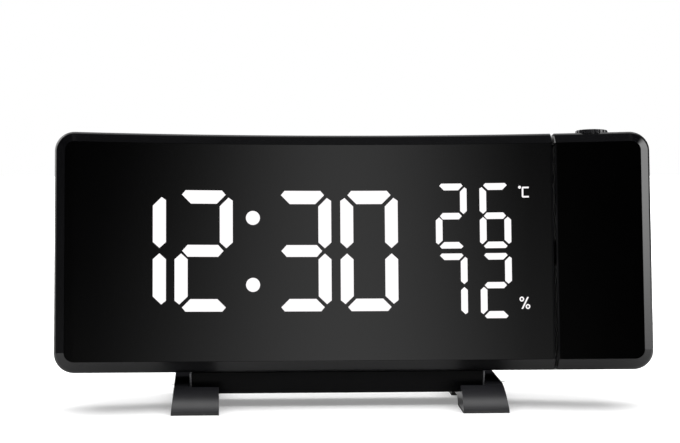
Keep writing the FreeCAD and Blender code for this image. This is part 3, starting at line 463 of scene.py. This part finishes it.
COLON_X, COLON_RADIUS, COLON_ROWS = -34.05, 2.38, (51.77, 29.17)
lit_piece("colon", [ring_points(COLON_X, z, COLON_RADIUS, COLON_RADIUS) for z in COLON_ROWS])
STROKE, CORNER_CUT = 0.55, 0.3
degree = [ring_points(56.42, 61.78, 0.5, 0.5, 16)]
c_left, c_right, c_low, c_high = 57.13, 59.49, 58.25, 61.94
inner_x, inner_low, inner_high = c_left + STROKE, c_low + STROKE, c_high - STROKE
cut_x = c_left + CORNER_CUT
letter_c = [
    [(cut_x, c_high), (c_right, c_high), (c_right, inner_high), (inner_x, inner_high)],
    [(c_left, c_high - CORNER_CUT), (cut_x, c_high), (inner_x, inner_high),
     (inner_x, inner_low), (cut_x, c_low), (c_left, c_low + CORNER_CUT)],
    [(cut_x, c_low), (inner_x, inner_low), (c_right, inner_low), (c_right, c_low)],
]
lit_piece("degree_sign", degree + letter_c)
bar_low, bar_high = 20.54, 24.54
percent = [[(56.45, bar_low), (57.0, bar_low), (58.95, bar_high), (58.4, bar_high)]]
for x, z in ((56.62, 23.85), (58.62, 21.32)):
    percent += band(ring_points(x, z, 0.78, 0.84, 20), ring_points(x, z, 0.34, 0.42, 20))
lit_piece("percent_sign", percent)

# ---------------------------------------------------------------- stand bar
BAR_LEFT, BAR_RIGHT = -55.4, 44.8
BAR_FRONT, BAR_BACK = 4.0, 24.0
BAR_BOTTOM = 4.9
BAR_SKIN = 2.4
BAR_ROUND = 0.3
END_PLATE = 0.6


def under_case(y):
    return CASE_LIFT - y * math.tan(LEAN)


def profile_piece(name, profile, x0, x1, material, rounding):
    """A side profile in y and z, run along x, with its sharp edges rounded."""
    bm = bmesh.new()
    ends = [[bm.verts.new(Vector((x, y + CASE_SHIFT, z)) * MM) for y, z in profile] for x in (x0, x1)]
    bm.faces.new(ends[0])
    bm.faces.new(ends[1][::-1])
    count = len(profile)
    for i in range(count):
        j = (i + 1) % count
        bm.faces.new([ends[0][j], ends[0][i], ends[1][i], ends[1][j]])
    bmesh.ops.recalc_face_normals(bm, faces=bm.faces[:])
    bmesh.ops.bevel(bm, geom=bm.edges[:], offset=rounding * MM, segments=4, profile=0.5, affect="EDGES")
    obj = mesh_piece(name, bm, material, "clock_body")
    for polygon in obj.data.polygons:
        polygon.use_smooth = True
    obj.data.set_sharp_from_angle(angle=math.radians(30))
    return obj


back_inner = BAR_BACK - BAR_SKIN
front_inner = BAR_FRONT + BAR_SKIN
channel = [(BAR_FRONT, BAR_BOTTOM), (BAR_FRONT, under_case(BAR_FRONT)), (BAR_BACK, under_case(BAR_BACK)),
           (BAR_BACK, BAR_BOTTOM), (back_inner, BAR_BOTTOM), (back_inner, under_case(back_inner) - BAR_SKIN),
           (front_inner, under_case(front_inner) - BAR_SKIN), (front_inner, BAR_BOTTOM)]
bar = profile_piece("cradle_bar", channel, BAR_LEFT + END_PLATE, BAR_RIGHT - END_PLATE, BAR_PAINTED_SHADE, BAR_ROUND)
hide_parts("stand_bar")
# Thin plates at both ends of the bar, in the light grey finish: painted highlights
end_shape = channel[:4]
for end_name, x0 in (("cradle_end_left", BAR_LEFT), ("cradle_end_right", BAR_RIGHT - END_PLATE)):
    profile_piece(end_name, end_shape, x0, x0 + END_PLATE, BAR_END_HIGHLIGHT, BAR_ROUND)

# ---------------------------------------------------------------- foot pads
PAD_HIGH = 0.8
PAD_COLUMNS = ((-61.6, -45.6), (35.9, 51.4))
PAD_ROWS = ((-10.0, 6.4), (26.0, 36.0))
bm = bmesh.new()
for x0, x1 in PAD_COLUMNS:
    for y0, y1 in PAD_ROWS:
        middle = Vector(((x0 + x1) / 2, (y0 + y1) / 2 + CASE_SHIFT, PAD_HIGH / 2))
        size = Vector((x1 - x0, y1 - y0, PAD_HIGH))
        for v in bmesh.ops.create_cube(bm, size=1.0)["verts"]:
            v.co = (middle + v.co * size) * MM
pads = mesh_piece("rubber_pads", bm, RUBBER, "clock_body")
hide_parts("foot_pads")

# ---------------------------------------------------------------- screw recesses
SCREW_SETBACK = 3.2
CROSS_LONG, CROSS_WIDE = 1.35, 0.32
CROSS_SUNK, CROSS_PROUD = 0.02, 0.04


def cross_piece(name, points, body):
    """Cross recesses in the heads of the screws, each as a thin dark inlay: painted shade."""
    bm = bmesh.new()
    for x, z in points:
        radius = FACE_RADIUS + CASE_DEPTH
        y = math.sqrt(radius * radius - x * x) - FACE_RADIUS - SCREW_SETBACK
        a, b = CROSS_LONG, CROSS_WIDE
        outline = [(a, -b), (a, b), (b, b), (b, a), (-b, a), (-b, b), (-a, b), (-a, -b),
                   (-b, -b), (-b, -a), (b, -a), (b, -b)]
        front, rear = [[bm.verts.new(case_point(x + dx, y + dy, z + dz)) for dx, dz in outline]
                       for dy in (-CROSS_SUNK, CROSS_PROUD)]
        bm.faces.new(front)
        bm.faces.new(rear[::-1])
        for i in range(len(outline)):
            j = (i + 1) % len(outline)
            bm.faces.new([front[j], front[i], rear[i], rear[j]])
    return mesh_piece(name, bm, RECESS_SHADE, body)


SCREW_ROWS = (7.5, 72.8)
cross_piece("case_screw_recesses", [(x, z) for x in (-92.5, 60.0) for z in SCREW_ROWS], "clock_body")
cross_piece("head_screw_recesses", [(92.5, z) for z in SCREW_ROWS], "projector_head")

# ---------------------------------------------------------------- floor
FLOOR_HALF = 1.2
FLOOR_SHINE = 0.16
FLOOR_NEAR, FLOOR_FAR = 0.06, 0.42
FLOOR_NEAR_GLOW, FLOOR_FAR_GLOW = 0.24, 1.05

floor_mesh = bpy.data.meshes.new("floor")
corners = [(FLOOR_HALF * x, FLOOR_HALF * y, 0) for x, y in ((-1, -1), (1, -1), (1, 1), (-1, 1))]
floor_mesh.from_pydata(corners, [], [(0, 1, 2, 3)])
floor = bpy.data.objects.new("floor", floor_mesh)
bpy.context.scene.collection.objects.link(floor)
material, tree, shader = new_material("floor_paper")
paper = tinted(tree, noise(tree, 3.0), (0.86, 0.86, 0.86), (0.88, 0.88, 0.88))
tree.links.new(paper, shader.inputs["Base Color"])
tree.links.new(spread(tree, noise(tree, 40.0), 0.75, 0.85), shader.inputs["Roughness"])
shader.inputs["Specular IOR Level"].default_value = 0.1
path = tree.nodes.new("ShaderNodeLightPath")
glossy = math_node(tree, "MULTIPLY", path.outputs["Is Glossy Ray"], FLOOR_SHINE)
seen = math_node(tree, "MAXIMUM", path.outputs["Is Camera Ray"], glossy)
seen = math_node(tree, "MAXIMUM", seen, path.outputs["Is Transmission Ray"])
away = vector_node(tree, "LENGTH", object_coords(tree))
fade = ramped(tree, away, FLOOR_NEAR, FLOOR_FAR, FLOOR_NEAR_GLOW, FLOOR_FAR_GLOW)
tree.links.new(math_node(tree, "MULTIPLY", seen, fade), shader.inputs["Emission Strength"])
shader.inputs["Emission Color"].default_value = (1, 1, 1, 1)
floor_mesh.materials.append(material)

# ---------------------------------------------------------------- world
# The levels that glossy surfaces mirror, by direction. Azimuth 0 is the front, +90 the right.
world = bpy.data.worlds.new("studio")
bpy.context.scene.world = world
world.use_nodes = True
tree = world.node_tree
tree.nodes.clear()
dx, dy, dz = xyz(tree, tree.nodes.new("ShaderNodeTexCoord").outputs["Generated"])


def ramp(value, low, high, from_value, to_value):
    return ramped(tree, value, low, high, from_value, to_value)


def angle_ramp(angle, low, high, from_value, to_value, kind="SMOOTHSTEP"):
    """A ramp over an angle whose ends are given in degrees."""
    return ramped(tree, angle, math.radians(low), math.radians(high), from_value, to_value, kind)


def times(first, *others):
    for other in others:
        first = math_node(tree, "MULTIPLY", first, other)
    return first


def plus(first, *others):
    for other in others:
        first = math_node(tree, "ADD", first, other)
    return first


def minus(a, b):
    return math_node(tree, "SUBTRACT", a, b)


def absolute(value):
    return math_node(tree, "ABSOLUTE", value)


azimuth = math_node(tree, "ARCTAN2", dx, times(dy, -1.0))
height = math_node(tree, "ARCSINE", dz)

# A soft window of light in front, wider lower down
WINDOW_AZIMUTH = 4.1
WINDOW_LOW, WINDOW_HIGH, WINDOW_TOP = 7, 17, 28
WINDOW_WIDE, WINDOW_NARROW = 14.1, 8.6
WINDOW_LOW_LEVEL, WINDOW_HIGH_LEVEL = 1.08, 0.84
half_width = angle_ramp(height, WINDOW_LOW, WINDOW_HIGH, math.radians(WINDOW_WIDE),
                        math.radians(WINDOW_NARROW), "LINEAR")
ratio = math_node(tree, "DIVIDE", minus(azimuth, math.radians(WINDOW_AZIMUTH)), half_width)
window = times(math_node(tree, "EXPONENT", times(ratio, ratio, -1.0)),
               angle_ramp(height, WINDOW_LOW, WINDOW_HIGH, WINDOW_LOW_LEVEL, WINDOW_HIGH_LEVEL, "LINEAR"),
               angle_ramp(height, WINDOW_HIGH, WINDOW_TOP, 1.0, 0.0))

# The pale room behind, darker at the right
right_back = times(angle_ramp(azimuth, 92, 100, 0.0, 1.0), angle_ramp(azimuth, 145, 160, 1.0, 0.0))
room = times(ramp(dy, 0.25, 0.6, 0.0, 1.0), ramp(dz, 0.75, 0.9, 1.0, 0.0), minus(1.0, times(right_back, 0.9)))

# Softboxes: a tall one at the right and a weaker one behind at the left
RIGHT_LEVEL, LEFT_LEVEL = 6.2, 2.2
right_box = times(angle_ramp(azimuth, 35, 70, 0.0, 1.0), angle_ramp(azimuth, 95, 115, 1.0, 0.0),
                  angle_ramp(height, -1, 6, 0.25, 1.0), angle_ramp(height, 40, 60, RIGHT_LEVEL, 0.0))
left_box = times(angle_ramp(azimuth, -165, -150, 0.0, 1.0), angle_ramp(azimuth, -112, -102, 1.0, 0.0),
                 times(angle_ramp(height, -14, -8, 0.0, 1.0), angle_ramp(height, 35, 50, LEFT_LEVEL, 0.0)))

# Faint light from the sides and low at the left, and more from above
sides = times(angle_ramp(absolute(azimuth), 35, 70, 0.0, 0.05), ramp(dz, 0.4, 0.75, 1.0, 0.0))
low_left = times(angle_ramp(azimuth, -115, -104, 0.0, 1.0), angle_ramp(azimuth, -60, -40, 1.0, 0.0),
                 angle_ramp(height, -1, 9, 0.16, 0.0))
crown = times(ramp(dz, 0.8, 0.95, 0.0, 0.14), ramp(absolute(minus(dx, 0.06)), 0.0, 0.12, 1.0, 0.12))
ahead = times(ramp(dy, -0.35, 0.0, 1.0, 0.0), ramp(dy, -0.75, -0.5, 0.0, 1.0))
canopy = times(ramp(dz, 0.7, 0.9, 0.0, 4.0), ahead, ramp(absolute(dx), 0.25, 0.6, 1.0, 0.0))
faint = plus(0.006, plus(sides, low_left))
over = plus(faint, plus(crown, canopy))
glossy_level = plus(plus(window, room), plus(plus(right_box, left_box), over))


def background(strength):
    made = tree.nodes.new("ShaderNodeBackground")
    made.inputs["Color"].default_value = (1, 1, 1, 1)
    feed(tree, made.inputs["Strength"], strength)
    return made.outputs[0]


def mixed(factor, first, second):
    made = tree.nodes.new("ShaderNodeMixShader")
    for socket, value in zip(made.inputs, (factor, first, second)):
        feed(tree, socket, value)
    return made.outputs[0]


AMBIENT = 0.42
path = tree.nodes.new("ShaderNodeLightPath")
indirect = mixed(path.outputs["Is Glossy Ray"], background(AMBIENT), background(glossy_level))
direct = math_node(tree, "MAXIMUM", path.outputs["Is Camera Ray"], path.outputs["Is Transmission Ray"])
out = tree.nodes.new("ShaderNodeOutputWorld")
tree.links.new(mixed(direct, indirect, background(1.0)), out.inputs["Surface"])

# ---------------------------------------------------------------- lamp
LAMP_HEIGHT, LAMP_WIDTH, LAMP_DEPTH, LAMP_POWER = 1.3, 2.8, 2.4, 46.4
lamp_data = bpy.data.lights.new("overhead", "AREA")
lamp_data.shape = "RECTANGLE"
lamp_data.size = LAMP_WIDTH
lamp_data.size_y = LAMP_DEPTH
lamp_data.energy = LAMP_POWER
lamp = bpy.data.objects.new("overhead", lamp_data)
bpy.context.scene.collection.objects.link(lamp)
lamp.location = (0.0, 0.0, LAMP_HEIGHT)
lamp.rotation_mode = "QUATERNION"
lamp.rotation_quaternion = Vector((0.0, 0.0, -LAMP_HEIGHT)).to_track_quat("-Z", "Y")
lamp.visible_glossy = False

# ---------------------------------------------------------------- camera
CAMERA_PLACE = (-0.04730, -0.71245, 0.12421)
CAMERA_DOWN, CAMERA_TURN, CAMERA_ROLL = 0.0599795, -0.0603437, 0.0024404
camera_data = bpy.data.cameras.new("camera")
camera_data.sensor_width = 36.0
camera_data.lens = 111.0
camera_data.shift_y = -0.0811
camera_data.clip_start = 0.05
camera_data.clip_end = 20.0
camera = bpy.data.objects.new("camera", camera_data)
bpy.context.scene.collection.objects.link(camera)
camera.location = CAMERA_PLACE
camera.rotation_mode = "QUATERNION"
aimed = Euler((math.radians(90.0) - CAMERA_DOWN, 0.0, CAMERA_TURN)).to_quaternion()
camera.rotation_quaternion = aimed @ Quaternion((0, 0, 1), CAMERA_ROLL)
bpy.context.scene.camera = camera
bpy.context.scene.view_settings.view_transform = "Standard"
